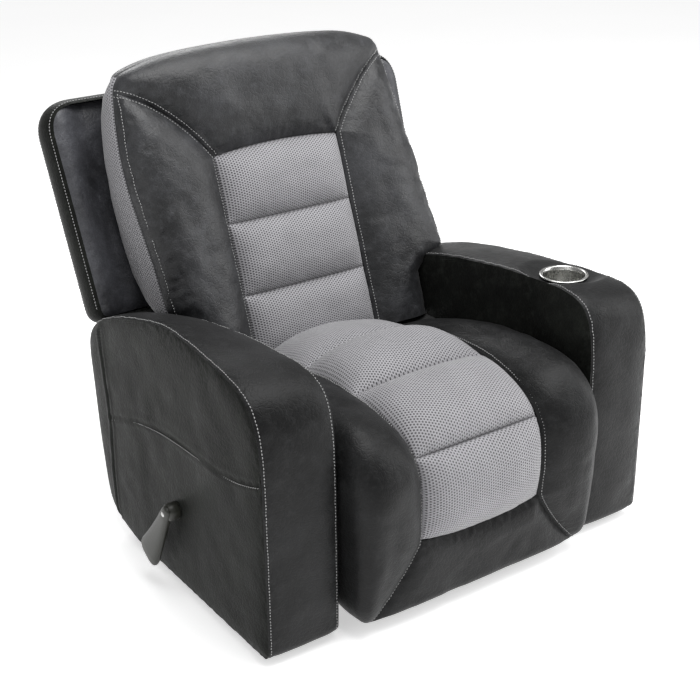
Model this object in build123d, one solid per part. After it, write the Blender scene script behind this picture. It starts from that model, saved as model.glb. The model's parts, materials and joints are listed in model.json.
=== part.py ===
from build123d import *
import math
import os

# Manual zero gravity recliner. Millimetres, +Z up, the sitter faces -Y, origin on the floor under the middle
# of the chair. The arms are fixed to the base; the seat tilts on the base, the back turns on the seat, and the
# footrest turns about the fold of the chaise pad, carried by two bent cranks and two couplers on each side.
# All recliner side plates are thin steel sheets in layers that run inwards from the base plate.

# ---- driving dimensions ----
ARM_OUT = 480.0  # outside of each arm, from the middle plane
ARM_IN = 320.0  # inside of each arm
ARM_BOTTOM = 35.0
ARM_FRONT = -438.0
ARM_WALL = 14.0  # foam and leather over the wooden arm box
SHEET = 5.0  # thickness of the steel side plates and links
PLY = 12.0
RAIL = 25.0
PIN_R = 4.0
BOLT_R = 5.0
RUNNING = 0.05  # radial clearance of a pin in its hole

# inner face of each sheet layer, from the middle plane
BASE_LAYER = 281.0
SEAT_LAYER = 271.0
CRANK_LAYER = 264.0
BACK_LAYER = 262.0
COUPLER_LAYER = 257.0
RECLINE_LAYER = 255.0

# pivots, as (Y, Z)
FOLD = (-466.0, 370.0)  # fold of the chaise pad, which the footrest turns about
TILT = (110.0, 262.0)  # seat on base
RECLINE = (200.0, 352.0)  # back on seat
CRANK_FRONT = (-316.0, 295.0)  # front crank on seat plate
CRANK_REAR = (-216.0, 280.0)  # rear crank on seat plate
ARM_UPPER = (128.0, -95.0)  # from the fold to the upper bracket pin; each crank repeats it
ARM_LOWER = (140.0, -150.0)  # from the fold to the lower bracket pin
ANCHOR_LOW = (190.0, 147.0)  # recline link on base
ANCHOR_HIGH = (187.0, 315.0)  # recline link on back bracket
ANCHOR_EYE_R = 6.3  # the link's upper eye is wide, because the pin wanders under 2 mm in it

BACK_LEAN = 19.5  # degrees from upright
BACK_Y = 70.0  # the back's own frame starts here on the floor: n rearwards, t up along the back

SEAT_HALF = 312.0
CUP = (400.0, -257.0)
CUP_TOP = 541.0
CUP_FLOOR = 467.0
CUP_R = 44.5
LEVER = (-115.0, 200.0)  # axis of the release shaft
SHAFT_R = 8.0


# ---- helpers ----
def block(x0, x1, y0, y1, z0, z1):
    return Pos((x0 + x1) / 2, (y0 + y1) / 2, (z0 + z1) / 2) * Box(x1 - x0, y1 - y0, z1 - z0)


def rod(x0, x1, centre, r):
    """Round bar along X."""
    return Pos((x0 + x1) / 2, centre[0], centre[1]) * Rot(0, 90, 0) * Cylinder(r, x1 - x0)


def post(x, y, z0, z1, r):
    """Round bar along Z."""
    return Pos(x, y, (z0 + z1) / 2) * Cylinder(r, z1 - z0)


def side_sheet(outline, x0, thick=SHEET):
    """A closed outline in the YZ plane, given thickness along +X from x0."""
    face = make_face(Polyline(*outline, close=True).edges())
    return extrude(Plane.YZ.offset(x0) * face, thick)


def rounded_face(corners):
    """A closed outline of (a, b, radius) corners, each rounded by its radius; 0 leaves it sharp."""
    face = make_face(Polyline(*[(a, b) for a, b, r in corners], close=True).edges())
    for a, b, r in corners:
        if r > 0:
            face = fillet(face.vertices().sort_by_distance((a, b, 0))[0], r)
    return face


def pair(*shapes):
    """Right-hand (+X) pieces and their mirror images, as one set of solids."""
    made = [solid for shape in shapes for solid in shape.solids()]
    made += [mirror(solid, about=Plane.YZ).solid() for solid in made]
    return Compound(made)


def save(name, shape):
    solids = shape.solids()
    made = solids[0] if len(solids) == 1 else Compound(list(solids))
    export_step(made, "parts/" + name + ".step")


def link_bar(points, x0, width, hole_radii):
    """A flat link through its pivots: round ends, straight between them, one hole at each."""
    half = width / 2
    bar = rod(x0, x0 + SHEET, points[0], half)
    for a, b in zip(points, points[1:]):
        length = math.dist(a, b)
        across = ((b[1] - a[1]) / length * half, -(b[0] - a[0]) / length * half)
        outline = [
            (a[0] + across[0], a[1] + across[1]),
            (b[0] + across[0], b[1] + across[1]),
            (b[0] - across[0], b[1] - across[1]),
            (a[0] - across[0], a[1] - across[1]),
        ]
        bar = bar + side_sheet(outline, x0) + rod(x0, x0 + SHEET, b, half)
    for p, r in zip(points, hole_radii):
        bar = bar - rod(x0 - 1, x0 + SHEET + 1, p, r)
    return bar


def offset_point(start, step):
    return (start[0] + step[0], start[1] + step[1])


def lean(shape):
    """From the back's own frame (X, n, t) to the chair's."""
    return Pos(0, BACK_Y, 0) * Rot(-BACK_LEAN, 0, 0) * shape


def in_back(point):
    """A (Y, Z) place as (n, t) in the back's own frame."""
    a = math.radians(BACK_LEAN)
    y, z = point[0] - BACK_Y, point[1]
    return (y * math.cos(a) - z * math.sin(a), y * math.sin(a) + z * math.cos(a))


# ---- base: rails, cross tubes, glides, side plates ----
RAIL_X = (286.0, 311.0)
RAIL_Z = (18.0, 48.0)
TUBE_R = 12.5


def make_base():
    save("base_rails", pair(block(*RAIL_X, -350, 215, *RAIL_Z)))
    for name, y in (("front", -300.0), ("rear", 165.0)):
        save("base_cross_tube_" + name, rod(-RAIL_X[0], RAIL_X[0], (y, 33.0), TUBE_R))
    save("floor_glides", pair(*[post(298.5, y, 0, RAIL_Z[0], 16.0) for y in (-325.0, 190.0)]))
    plate = side_sheet(
        [(30, 50), (30, 18), (215, 18), (215, 150), (200, 172), (132, 276), (110, 284), (90, 276), (82, 240)],
        BASE_LAYER,
    )
    for p in (TILT, ANCHOR_LOW):
        plate = plate - rod(BASE_LAYER - 1, BASE_LAYER + SHEET + 1, p, BOLT_R + RUNNING)
    plate = plate - rod(BASE_LAYER - 1, BASE_LAYER + SHEET + 1, (165.0, 33.0), TUBE_R + RUNNING)
    save("base_side_plates", pair(plate))
    stop = side_sheet([(-335, 18), (-285, 18), (-262, 236), (-290, 236)], BASE_LAYER)
    stop = stop - rod(BASE_LAYER - 1, BASE_LAYER + SHEET + 1, (-300.0, 33.0), TUBE_R + RUNNING)
    save("front_stop_posts", pair(stop + block(270.0, BASE_LAYER, -290, -262, 230, 236)))
    save("stop_bumpers", pair(block(270.0, 280.5, -289, -263, 236, 250)))
    save("arm_brackets", pair(*[block(311.0, 440.0, y - 20, y + 20, 30.0, 35.0) for y in (-250.0, 120.0)]))
    outer = BASE_LAYER + SHEET
    save("seat_tilt_bolts", pair(rod(SEAT_LAYER, outer, TILT, BOLT_R) + rod(outer, outer + 6, TILT, 9.0)))
    stud = rod(RECLINE_LAYER, outer, ANCHOR_LOW, BOLT_R) + rod(outer, outer + 6, ANCHOR_LOW, 9.0)
    save("recline_link_studs", pair(stud))


# ---- arms ----
ARM_OUTER = [
    (ARM_FRONT, 556, 62), (-340, 575, 150), (-110, 592, 250), (30, 560, 300), (194, 501, 200),
    (262, 455, 28), (234, 115, 40), (166, ARM_BOTTOM, 0), (ARM_FRONT, ARM_BOTTOM, 0),
]  # fmt: skip  plumb front, rolled front top, long crest, leaning rear edge
ARM_INNER = [
    (ARM_FRONT, 556, 62), (-340, 564, 150), (-110, 552, 250), (30, 521, 300), (194, 470, 200),
    (262, 440, 28), (234, 115, 40), (166, ARM_BOTTOM, 0), (ARM_FRONT, ARM_BOTTOM, 0),
]  # fmt: skip  the arm's top falls inwards towards the rear
ARM_OUTER_RIGHT = [
    (ARM_FRONT, 540, 62), (-340, 543, 150), (-110, 528, 250), (30, 510, 300), (160, 484, 200),
    (262, 446, 28), (234, 115, 40), (166, ARM_BOTTOM, 0), (ARM_FRONT, ARM_BOTTOM, 0),
]  # fmt: skip  the arm with the cup holder is flatter outside
ARM_CAVITY = [(-418, 0), (-418, 468), (-375, 503), (-220, 507), (-110, 499), (30, 478), (194, 440), (222, 420)]
ARM_CAVITY += [(216, 112), (128, 0)]


def make_arm(outer_outline):
    """Upholstered cover of an arm, on the +X side."""
    inner = Plane.YZ.offset(ARM_IN) * rounded_face(ARM_INNER)
    outer = Plane.YZ.offset(ARM_OUT) * rounded_face(outer_outline)
    cover = loft([inner, outer], ruled=True)
    cavity = side_sheet(ARM_CAVITY, ARM_IN + ARM_WALL, ARM_OUT - ARM_IN - 2 * ARM_WALL)
    return cover - cavity


def arm_box(cup_hole, shaft_hole):
    """Wooden pieces of the +X arm by name, 1 mm clear of the cover, less the hole that each side needs."""
    x0, x1 = ARM_IN + ARM_WALL + 1, ARM_OUT - ARM_WALL - 1
    outline = [(-416, ARM_BOTTOM), (-416, 466), (-374, 500), (-220, 504), (-110, 496), (29, 475), (192, 437)]
    outline += [(219, 418), (212, 110), (149, ARM_BOTTOM)]
    inside, outside = x0 + PLY, x1 - PLY
    posts = [block(inside, outside, -416, -391, ARM_BOTTOM, 465), block(inside, outside, 186, 211, 110, 414)]
    top_rail = block(inside, outside, -350, -60, 470, 488) - cup_hole
    bottom_rail = block(inside, outside, -391, 145, ARM_BOTTOM, ARM_BOTTOM + RAIL)
    return {
        "arm_inner_panel": [side_sheet(outline, x0, PLY) - shaft_hole],
        "arm_outer_panel": [side_sheet(outline, outside, PLY) - shaft_hole],
        "arm_posts": posts,
        "arm_rails": [top_rail, bottom_rail],
    }


def make_arms():
    far = Pos(0, 0, -2000)  # sends a hole to where nothing is, for the side that has none
    cup_hole = post(*CUP, CUP_FLOOR - 10, 640, CUP_R + 2.5) + post(*CUP, CUP_TOP - 2, 640, CUP_R + 9.5)
    cover_shaft_hole = rod(ARM_IN - 5, ARM_OUT + 5, LEVER, 13.0)
    panel_shaft_hole = rod(ARM_IN, ARM_OUT, LEVER, SHAFT_R + RUNNING)
    save("arm_cover_right", make_arm(ARM_OUTER_RIGHT) - cup_hole)
    save("arm_cover_left", mirror(make_arm(ARM_OUTER) - cover_shaft_hole, about=Plane.YZ))
    for name, shapes in arm_box(cup_hole, far * panel_shaft_hole).items():
        save(name + "_right", Compound([s.solid() for s in shapes]))
    for name, shapes in arm_box(far * cup_hole, panel_shaft_hole).items():
        save(name + "_left", Compound([mirror(s, about=Plane.YZ).solid() for s in shapes]))
    cup = post(*CUP, CUP_FLOOR, CUP_TOP, CUP_R + 1.5) + post(*CUP, CUP_TOP - 1.8, CUP_TOP, CUP_R + 8.5)
    save("cup_holder", cup - post(*CUP, CUP_FLOOR + 2, CUP_TOP + 1, CUP_R))


# ---- release lever, on the outside of the left (-X) arm ----
def make_lever():
    a = math.radians(-58)  # the grip hangs down and to the rear
    along, across = (math.cos(a), math.sin(a)), (-math.sin(a), math.cos(a))

    def place(u, v):
        return (LEVER[0] + along[0] * u + across[0] * v, LEVER[1] + along[1] * u + across[1] * v)

    blade = side_sheet([place(0, 11), place(0, -11), place(150, -21), place(163, 4), place(150, 21)], -520, 13)
    blade = fillet(blade.edges(), 3)
    hub = rod(-520, -487, LEVER, 15) - rod(-512, -486, LEVER, SHAFT_R)
    blade = blade - rod(-521, -486, LEVER, 14.9)
    save("lever_handle", blade + hub - rod(-521, -511, LEVER, 3.0))
    save("lever_screw", rod(-518, -512, LEVER, 2.9) + rod(-522, -520, LEVER, 6.0) + rod(-520, -518, LEVER, 2.9))
    save("lever_shaft", rod(-512, -297, LEVER, SHAFT_R))
    bush = rod(-485, -481, LEVER, 20) + rod(-481, -466, LEVER, 12.5)
    save("lever_bush", bush - rod(-486, -465, LEVER, SHAFT_R + RUNNING))
    cam_face = [(-140, 188), (-100, 180), (-92, 205), (-105, 250), (-125, 250), (-140, 212)]
    cam = side_sheet(cam_face, -306, 6) - rod(-307, -299, LEVER, SHAFT_R)
    save("release_cam", cam)
    path = Helix(pitch=3.2, height=16, radius=13)
    wire = sweep(Plane(origin=path @ 0, z_dir=path % 0) * Circle(1.1), path=path, is_frenet=True)
    save("lever_return_spring", Pos(-440, LEVER[0], LEVER[1]) * Rot(0, 90, 0) * wire)


# ---- seat ----
def make_seat():
    outline = [
        (-346, 347), (180, 347), (182, 372), (218, 372), (220, 335), (132, 238), (88, 238),
        (-210, 250), (-290, 250), (-346, 280),
    ]  # fmt: skip
    plate = side_sheet(outline, SEAT_LAYER)
    for p, r in ((TILT, BOLT_R), (RECLINE, BOLT_R), (CRANK_FRONT, PIN_R), (CRANK_REAR, PIN_R)):
        plate = plate - rod(SEAT_LAYER - 1, SEAT_LAYER + SHEET + 1, p, r + RUNNING)
    save("seat_side_plates", pair(plate))
    save("seat_front_rail", block(-SEAT_LAYER, SEAT_LAYER, -345, -320, 312, 347))
    save("seat_rear_rail", block(-SEAT_LAYER, SEAT_LAYER, 112, 138, 300, 347))
    save("seat_springs", Compound([sinuous_spring(x).solid() for x in (-200, -100, 0, 100, 200)]))
    outer = SEAT_LAYER + SHEET
    crank_pins = [
        rod(CRANK_LAYER, outer, p, PIN_R) + rod(outer, outer + 2.5, p, PIN_R + 3)
        for p in (CRANK_FRONT, CRANK_REAR)
    ]
    save("crank_pivot_pins", pair(*crank_pins))
    bolt = rod(BACK_LAYER, outer, RECLINE, BOLT_R) + rod(outer, outer + 3, RECLINE, 9.0)
    save("back_pivot_bolts", pair(bolt))
    save("seat_cushion", seat_cushion())


def sinuous_spring(x, reach=20.0, step=22.0, wire_r=1.9, z=349.2):
    """Zigzag seat spring lying on the front and rear rails."""
    points = []
    y, side = -336.0, -1
    for _ in range(21):
        points += [(x + side * reach, y, z), (x - side * reach, y, z)]
        side = -side
        y += step
    path = FilletPolyline(*points, radius=step / 2 - 0.5)
    return sweep(Plane(origin=path @ 0, z_dir=path % 0) * Circle(wire_r), path=path)


def seat_cushion():
    """Chaise seat: flat deck, crowned top, nose that comes down to the fold."""
    outline = [(135, 382, 20), (30, 426, 150), (-80, 443, 200), (-275, 431, 400), (-405, 412, 40), (-463, 373, 0)]
    outline += [(-348, 373, 0), (-348, 353, 0), (135, 353, 0)]
    body = extrude(Plane.YZ.offset(-SEAT_HALF) * rounded_face(outline), 2 * SEAT_HALF)
    ends = body.faces().sort_by(Axis.X)
    return fillet(ends[0].edges() + ends[-1].edges(), 6)


# ---- back ----
STILE_N = (66.0, 90.0)
SHELL_HALF = 452.0
CUSHION_UP = 362.0
CUSHION_LOW = 312.0
CUSHION_STEP = 540.0
WEB_T = (600.0, 690.0, 780.0, 870.0)


def shell_face():
    """Outline of the outer back in its own plane (X, t): wings over the arms, a narrow tail between them."""
    tail = 312.0
    points = [(-SHELL_HALF, 972), (-SHELL_HALF, 525), (-tail, 525), (-tail, 345), (tail, 345), (tail, 525)]
    face = make_face(Polyline(*points, (SHELL_HALF, 525), (SHELL_HALF, 972), close=True).edges())
    tops = face.vertices().group_by(Axis.Y)[-1]
    return fillet(tops, 62)


def make_back():
    shell = extrude(Plane.XZ.offset(-32) * shell_face(), -68)
    shell = fillet(shell.faces().sort_by(Axis.Y)[-1].edges(), 14)
    shell = shell - block(-386, 386, -1, 58, 300, 1000)
    shell = shell - block(-440, 440, 64, 92, 500, 962) - block(-300, 300, 64, 92, 340, 501)
    for x in (-264.5, 264.5):  # slots that the back brackets come out through
        shell = shell - block(x - 5, x + 5, 55, 65, 340, 450)
    save("back_outer_cover", lean(shell))
    save("back_cushion", lean(back_cushion()))
    save("back_stiles", lean(pair(block(225, 262, *STILE_N, 346, 958))))
    save("back_wing_posts", lean(pair(block(400, 438, *STILE_N, 528, 958))))
    for name, t0, t1 in (("top", 915, 955), ("middle", 720, 750), ("lower", 470, 510)):
        save("back_" + name + "_rail", lean(block(-225, 225, *STILE_N, t0, t1)))
    wing_rails = [block(262, 400, *STILE_N, t0, t1) for t0, t1 in ((562, 592), (928, 955))]
    save("back_wing_rails", lean(pair(*wing_rails)))
    straps = [block(-262, 262, 64.4, 65.9, t - 25, t + 25) for t in WEB_T]
    save("back_webbing", lean(Compound([s.solid() for s in straps])))
    n0, t0 = in_back(RECLINE)
    nk, tk = in_back(ANCHOR_HIGH)
    outline = [
        (n0 - 22, t0 + 18), (n0 - 24, t0 - 10), (nk - 16, tk - 8), (nk - 4, tk - 16), (nk + 12, tk - 12),
        (66, 345), (92, 345), (92, 560), (64, 560), (64, 436), (n0 + 18, t0 + 22),
    ]  # fmt: skip
    plate = lean(side_sheet(outline, BACK_LAYER))
    for p, r in ((RECLINE, BOLT_R), (ANCHOR_HIGH, PIN_R)):
        plate = plate - rod(BACK_LAYER - 1, BACK_LAYER + SHEET + 1, p, r + RUNNING)
    save("back_brackets", pair(plate))
    save("recline_link_pins", pair(rod(RECLINE_LAYER - 2, BACK_LAYER + SHEET, ANCHOR_HIGH, PIN_R)))


def back_cushion():
    """Thick back cushion in the back's own frame: narrow between the arms, wider above them."""
    right = [(190, 1040, 260), (350, 990, 46), (CUSHION_UP, 700, 200), (CUSHION_UP, CUSHION_STEP, 0)]
    right += [(CUSHION_LOW, CUSHION_STEP, 0), (CUSHION_LOW, 448, 0)]
    left = [(-x, t, r) for x, t, r in reversed(right)]
    body = Pos(0, -100, 0) * extrude(Plane.XZ * rounded_face(right + left), -152)
    return fillet(body.faces().sort_by(Axis.Y)[0].edges(), 22)


# ---- footrest ----
def make_footrest():
    pad = extrude(Plane.YZ.offset(-302) * rounded_face(PAD_OUTLINE), 604)
    ends = pad.faces().sort_by(Axis.X)
    save("footrest_pad", fillet(ends[0].edges() + ends[-1].edges(), 6))
    save("footrest_board", block(-288, 288, -366, -351, 62, 350))
    upper, lower = offset_point(FOLD, ARM_UPPER), offset_point(FOLD, ARM_LOWER)
    outline = [(-351, 300), (-351, 195), (-322, 195), (-313, 208), (-313, 228), (-325, 286), (-336, 288)]
    plate = side_sheet(outline, CRANK_LAYER)
    plate = plate + block(CRANK_LAYER, 288, -351, -348, 195, 300)
    for p in (upper, lower):
        plate = plate - rod(CRANK_LAYER - 1, CRANK_LAYER + SHEET + 1, p, PIN_R + RUNNING)
    save("footrest_brackets", pair(plate))
    joint_x = (COUPLER_LAYER - 1.5, CRANK_LAYER + SHEET)
    save("bracket_pins", pair(*[rod(*joint_x, p, PIN_R) for p in (upper, lower)]))
    elbow, wrist = {}, {}
    for name, centre in (("front", CRANK_FRONT), ("rear", CRANK_REAR)):
        elbow[name], wrist[name] = offset_point(centre, ARM_UPPER), offset_point(centre, ARM_LOWER)
        corners = [centre, elbow[name], wrist[name]]
        save(name + "_cranks", pair(link_bar(corners, CRANK_LAYER, 24, [PIN_R + RUNNING] * 3)))
        save(name + "_crank_pins", pair(*[rod(*joint_x, p, PIN_R) for p in corners[1:]]))
    save("drive_tube", rod(-CRANK_LAYER, CRANK_LAYER, CRANK_REAR, 10))
    holes = [PIN_R + RUNNING] * 3
    upper_bar = link_bar([upper, elbow["front"], elbow["rear"]], COUPLER_LAYER, 17, holes)
    lower_bar = link_bar([lower, wrist["front"], wrist["rear"]], COUPLER_LAYER, 17, holes)
    save("upper_couplers", pair(upper_bar))
    save("lower_couplers", pair(lower_bar))
    link = link_bar([ANCHOR_LOW, ANCHOR_HIGH], RECLINE_LAYER, 22, [BOLT_R + RUNNING, ANCHOR_EYE_R])
    save("recline_links", pair(link))


PAD_OUTLINE = [(-465, 368, 0), (-485, 290, 70), (-480, 180, 120), (-466, 36, 0), (-367, 36, 0), (-367, 368, 0)]

os.makedirs("parts", exist_ok=True)
make_base()
make_arms()
make_lever()
make_seat()
make_back()
make_footrest()
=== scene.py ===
import json
import math

import bmesh
import bpy
import numpy as np
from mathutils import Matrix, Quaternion, Vector

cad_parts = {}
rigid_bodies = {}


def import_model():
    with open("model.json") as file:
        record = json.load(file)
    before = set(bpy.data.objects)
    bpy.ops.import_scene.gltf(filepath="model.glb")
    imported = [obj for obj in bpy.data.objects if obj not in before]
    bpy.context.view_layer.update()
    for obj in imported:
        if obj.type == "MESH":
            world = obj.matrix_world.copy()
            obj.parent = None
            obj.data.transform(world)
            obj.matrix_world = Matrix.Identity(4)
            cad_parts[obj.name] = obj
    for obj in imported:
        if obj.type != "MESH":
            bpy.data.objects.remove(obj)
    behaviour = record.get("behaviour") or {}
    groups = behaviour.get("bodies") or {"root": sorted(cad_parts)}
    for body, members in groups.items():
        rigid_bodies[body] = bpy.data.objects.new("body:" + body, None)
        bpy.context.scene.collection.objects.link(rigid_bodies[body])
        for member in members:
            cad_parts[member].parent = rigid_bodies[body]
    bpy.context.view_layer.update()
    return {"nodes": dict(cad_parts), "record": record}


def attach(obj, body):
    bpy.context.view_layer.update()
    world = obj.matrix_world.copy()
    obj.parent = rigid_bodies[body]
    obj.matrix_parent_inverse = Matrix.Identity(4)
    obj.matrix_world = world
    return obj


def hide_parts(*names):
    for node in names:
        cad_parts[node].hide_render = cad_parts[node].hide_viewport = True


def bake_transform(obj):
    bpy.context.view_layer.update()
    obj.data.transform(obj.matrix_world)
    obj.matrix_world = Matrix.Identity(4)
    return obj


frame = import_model()
FINE = 1.0  # sampling of the soft surfaces
SIDES = {1: "right", -1: "left"}  # +X is the cup holder's side


# ---- noise and small maths
def smooth(t):
    t = np.clip(t, 0, 1)
    return t * t * (3 - 2 * t)


def hash2(i, j, seed):
    n = np.sin(i * 127.1 + j * 311.7 + seed * 74.7) * 43758.5453
    return n - np.floor(n)


def noise2(x, y, seed=0):
    """Smooth value noise, -1 to 1, one cell per unit."""
    i, j = np.floor(x), np.floor(y)
    fx, fy = x - i, y - j
    fx, fy = fx * fx * (3 - 2 * fx), fy * fy * (3 - 2 * fy)
    a, b = hash2(i, j, seed), hash2(i + 1, j, seed)
    c, d = hash2(i, j + 1, seed), hash2(i + 1, j + 1, seed)
    return 2 * (a + (b - a) * fx + (c - a) * fy + (a - b - c + d) * fx * fy) - 1


def spline(points, count):
    """Dense curve through points, evenly spaced by length (Catmull-Rom)."""
    p = np.array(points, float)
    p = np.vstack([2 * p[0] - p[1], p, 2 * p[-1] - p[-2]])
    out = []
    for k in range(1, len(p) - 2):
        a, b, c, d = p[k - 1], p[k], p[k + 1], p[k + 2]
        t = np.linspace(0, 1, 40, endpoint=False)[:, None]
        out.append(
            0.5 * (2 * b + (c - a) * t + (2 * a - 5 * b + 4 * c - d) * t**2 + (3 * b - a - 3 * c + d) * t**3)
        )
    out = np.vstack(out + [p[-2][None]])
    return resample(out, count)


def arc(points):
    """Length along a line of points, from its start."""
    return np.r_[0, np.cumsum(np.linalg.norm(np.diff(points, axis=0), axis=1))]


def unit(vectors):
    return vectors / np.linalg.norm(vectors, axis=1)[:, None]


def eased(n, power):
    """0 to 1, with the steps closer towards 1."""
    return 1 - (1 - np.linspace(0, 1, n)) ** power


def packed(n, power):
    """-1 to 1, with the steps closer towards both ends."""
    u = np.linspace(-1, 1, n)
    return np.sign(u) * (1 - (1 - np.abs(u)) ** power)


def resample(points, count):
    step = arc(points)
    s = np.linspace(0, step[-1], count)
    return np.stack([np.interp(s, step, points[:, k]) for k in range(points.shape[1])], 1)


class Profile:
    """A curve in the YZ plane by arc length v, with its outward normal."""

    def __init__(self, points):
        self.p = spline(points, 1200)
        self.s = arc(self.p)
        t = unit(np.gradient(self.p, axis=0))
        n = np.stack([t[:, 1], -t[:, 0]], 1)
        for _ in range(30):
            n[1:-1] = (n[:-2] + n[1:-1] + n[2:]) / 3
        self.n = unit(n)
        self.length = self.s[-1]

    def at(self, v):
        y, z = np.interp(v, self.s, self.p[:, 0]), np.interp(v, self.s, self.p[:, 1])
        ny, nz = np.interp(v, self.s, self.n[:, 0]), np.interp(v, self.s, self.n[:, 1])
        return y, z, ny, nz

    def nearest(self, y, z):
        return self.s[np.argmin((self.p[:, 0] - y) ** 2 + (self.p[:, 1] - z) ** 2)]


# ---- mesh building
def mesh_object(name, verts, faces, material, uv=None):
    name = name.replace(" ", "_")
    mesh = bpy.data.meshes.new(name)
    mesh.from_pydata([tuple(v) for v in verts], [], faces)
    mesh.update()
    if uv is not None:
        layer = mesh.uv_layers.new(name="flat")
        loops = np.zeros(len(mesh.loops), np.int32)
        mesh.loops.foreach_get("vertex_index", loops)
        layer.data.foreach_set("uv", np.asarray(uv, np.float32)[loops].ravel())
    mesh.polygons.foreach_set("use_smooth", [True] * len(mesh.polygons))
    mesh.materials.append(material)
    obj = bpy.data.objects.new(name, mesh)
    bpy.context.scene.collection.objects.link(obj)
    return obj


def sheet_faces(nu, nv, flip=False, closed=False, start=0):
    """Quads of a grid stored row by row: nu columns, nv rows."""
    faces = []
    for j in range(nv - 1):
        for i in range(nu if closed else nu - 1):
            k = (i + 1) % nu
            q = (start + j * nu + i, start + j * nu + k, start + (j + 1) * nu + k, start + (j + 1) * nu + i)
            faces.append(q[::-1] if flip else q)
    return faces


def patch(name, grid, uv, material, flip=False):
    """A surface from an (nv, nu, 3) grid of points."""
    nv, nu = grid.shape[:2]
    return mesh_object(name, grid.reshape(-1, 3), sheet_faces(nu, nv, flip), material, uv.reshape(-1, 2))


def count(length, size=0.0042):
    return max(6, int(length / size * FINE))


# ---- materials
def nodes_of(name):
    """A new material, its tree, its shader and the object coordinates."""
    m = bpy.data.materials.new(name)
    m.use_nodes = True
    t = m.node_tree
    at = t.nodes.new("ShaderNodeTexCoord").outputs["Object"]
    return m, t, t.nodes["Principled BSDF"], at


def add(t, kind, **props):
    n = t.nodes.new(kind)
    for k, v in props.items():
        if k in n.inputs:
            n.inputs[k].default_value = v
        else:
            setattr(n, k, v)
    return n


def ramp(t, source, stops):
    """Colour ramp; a stop is a place with a colour or, for a grey, one number."""
    r = t.nodes.new("ShaderNodeValToRGB")
    while len(r.color_ramp.elements) < len(stops):
        r.color_ramp.elements.new(0.5)
    for e, (pos, c) in zip(r.color_ramp.elements, stops):
        e.position = pos
        e.color = (*c, 1) if isinstance(c, tuple) else (c, c, c, 1)
    t.links.new(source, r.inputs["Fac"])
    return r.outputs["Color"]


def noise(t, vector, scale, detail=4.0, rough=0.55):
    n = add(t, "ShaderNodeTexNoise", Scale=scale, Detail=detail, Roughness=rough)
    t.links.new(vector, n.inputs["Vector"])
    return n.outputs["Fac"]


def mix(t, a, b, fac, mode="MIX"):
    m = t.nodes.new("ShaderNodeMix")
    m.data_type = "RGBA"
    m.blend_type = mode
    for value, k in ((fac, 0), (a, 6), (b, 7)):
        if isinstance(value, (int, float, tuple)):
            m.inputs[k].default_value = value
        else:
            t.links.new(value, m.inputs[k])
    return m.outputs[2]


def bump(t, p, layers):
    """Stacks bumps, each (height, metres deep, strength)."""
    last = None
    for height, depth, strength in layers:
        b = add(t, "ShaderNodeBump", Distance=depth, Strength=strength)
        t.links.new(height, b.inputs["Height"])
        if last is not None:
            t.links.new(last.outputs["Normal"], b.inputs["Normal"])
        last = b
    t.links.new(last.outputs["Normal"], p.inputs["Normal"])


def leather(name, dark, mid, light, worn, shine):
    """Matte charcoal leather: cell grain, faint creases, cloudy wear."""
    m, t, p, at = nodes_of(name)
    cloud = noise(t, at, 9.0, 6.0, 0.62)
    fleck = noise(t, at, 46.0, 7.0, 0.72)
    speck = noise(t, at, 420.0, 3.0, 0.6)
    tone = ramp(t, cloud, [(0.36, dark), (0.52, mid), (0.72, light)])
    worn_at = ramp(t, fleck, [(0.50, 0), (0.70, worn)])
    tone = mix(t, tone, (*[c * 1.55 for c in light], 1), worn_at)
    tone = mix(t, tone, ramp(t, speck, [(0.35, 0.5), (0.62, 1.0)]), 0.8, "MULTIPLY")
    t.links.new(tone, p.inputs["Base Color"])
    cell = add(t, "ShaderNodeTexVoronoi", Scale=620.0, feature="F1")
    t.links.new(at, cell.inputs["Vector"])
    crease = add(t, "ShaderNodeTexVoronoi", Scale=95.0, feature="DISTANCE_TO_EDGE")
    warp = add(t, "ShaderNodeVectorMath", operation="MULTIPLY_ADD")
    wobble = add(t, "ShaderNodeTexNoise", Scale=30.0, Detail=3.0)
    t.links.new(at, wobble.inputs["Vector"])
    t.links.new(wobble.outputs["Color"], warp.inputs[0])
    warp.inputs[1].default_value = (0.02, 0.02, 0.02)
    t.links.new(at, warp.inputs[2])
    t.links.new(warp.outputs[0], crease.inputs["Vector"])
    lines = ramp(t, crease.outputs["Distance"], [(0.0, 0), (0.16, 1)])
    rough = ramp(t, fleck, [(0.3, 0.36), (0.7, 0.52)])
    t.links.new(rough, p.inputs["Roughness"])
    p.inputs["Specular IOR Level"].default_value = shine
    p.inputs["Sheen Weight"].default_value = 0.03
    p.inputs["Sheen Roughness"].default_value = 0.5
    grain = cell.outputs["Distance"]
    bump(t, p, [(cloud, 0.004, 0.25), (lines, 0.0006, 0.35), (fleck, 0.0012, 0.4), (grain, 0.0004, 0.5)])
    return m


MESH_PITCH = 0.0056  # from one row of cells to the next


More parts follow.
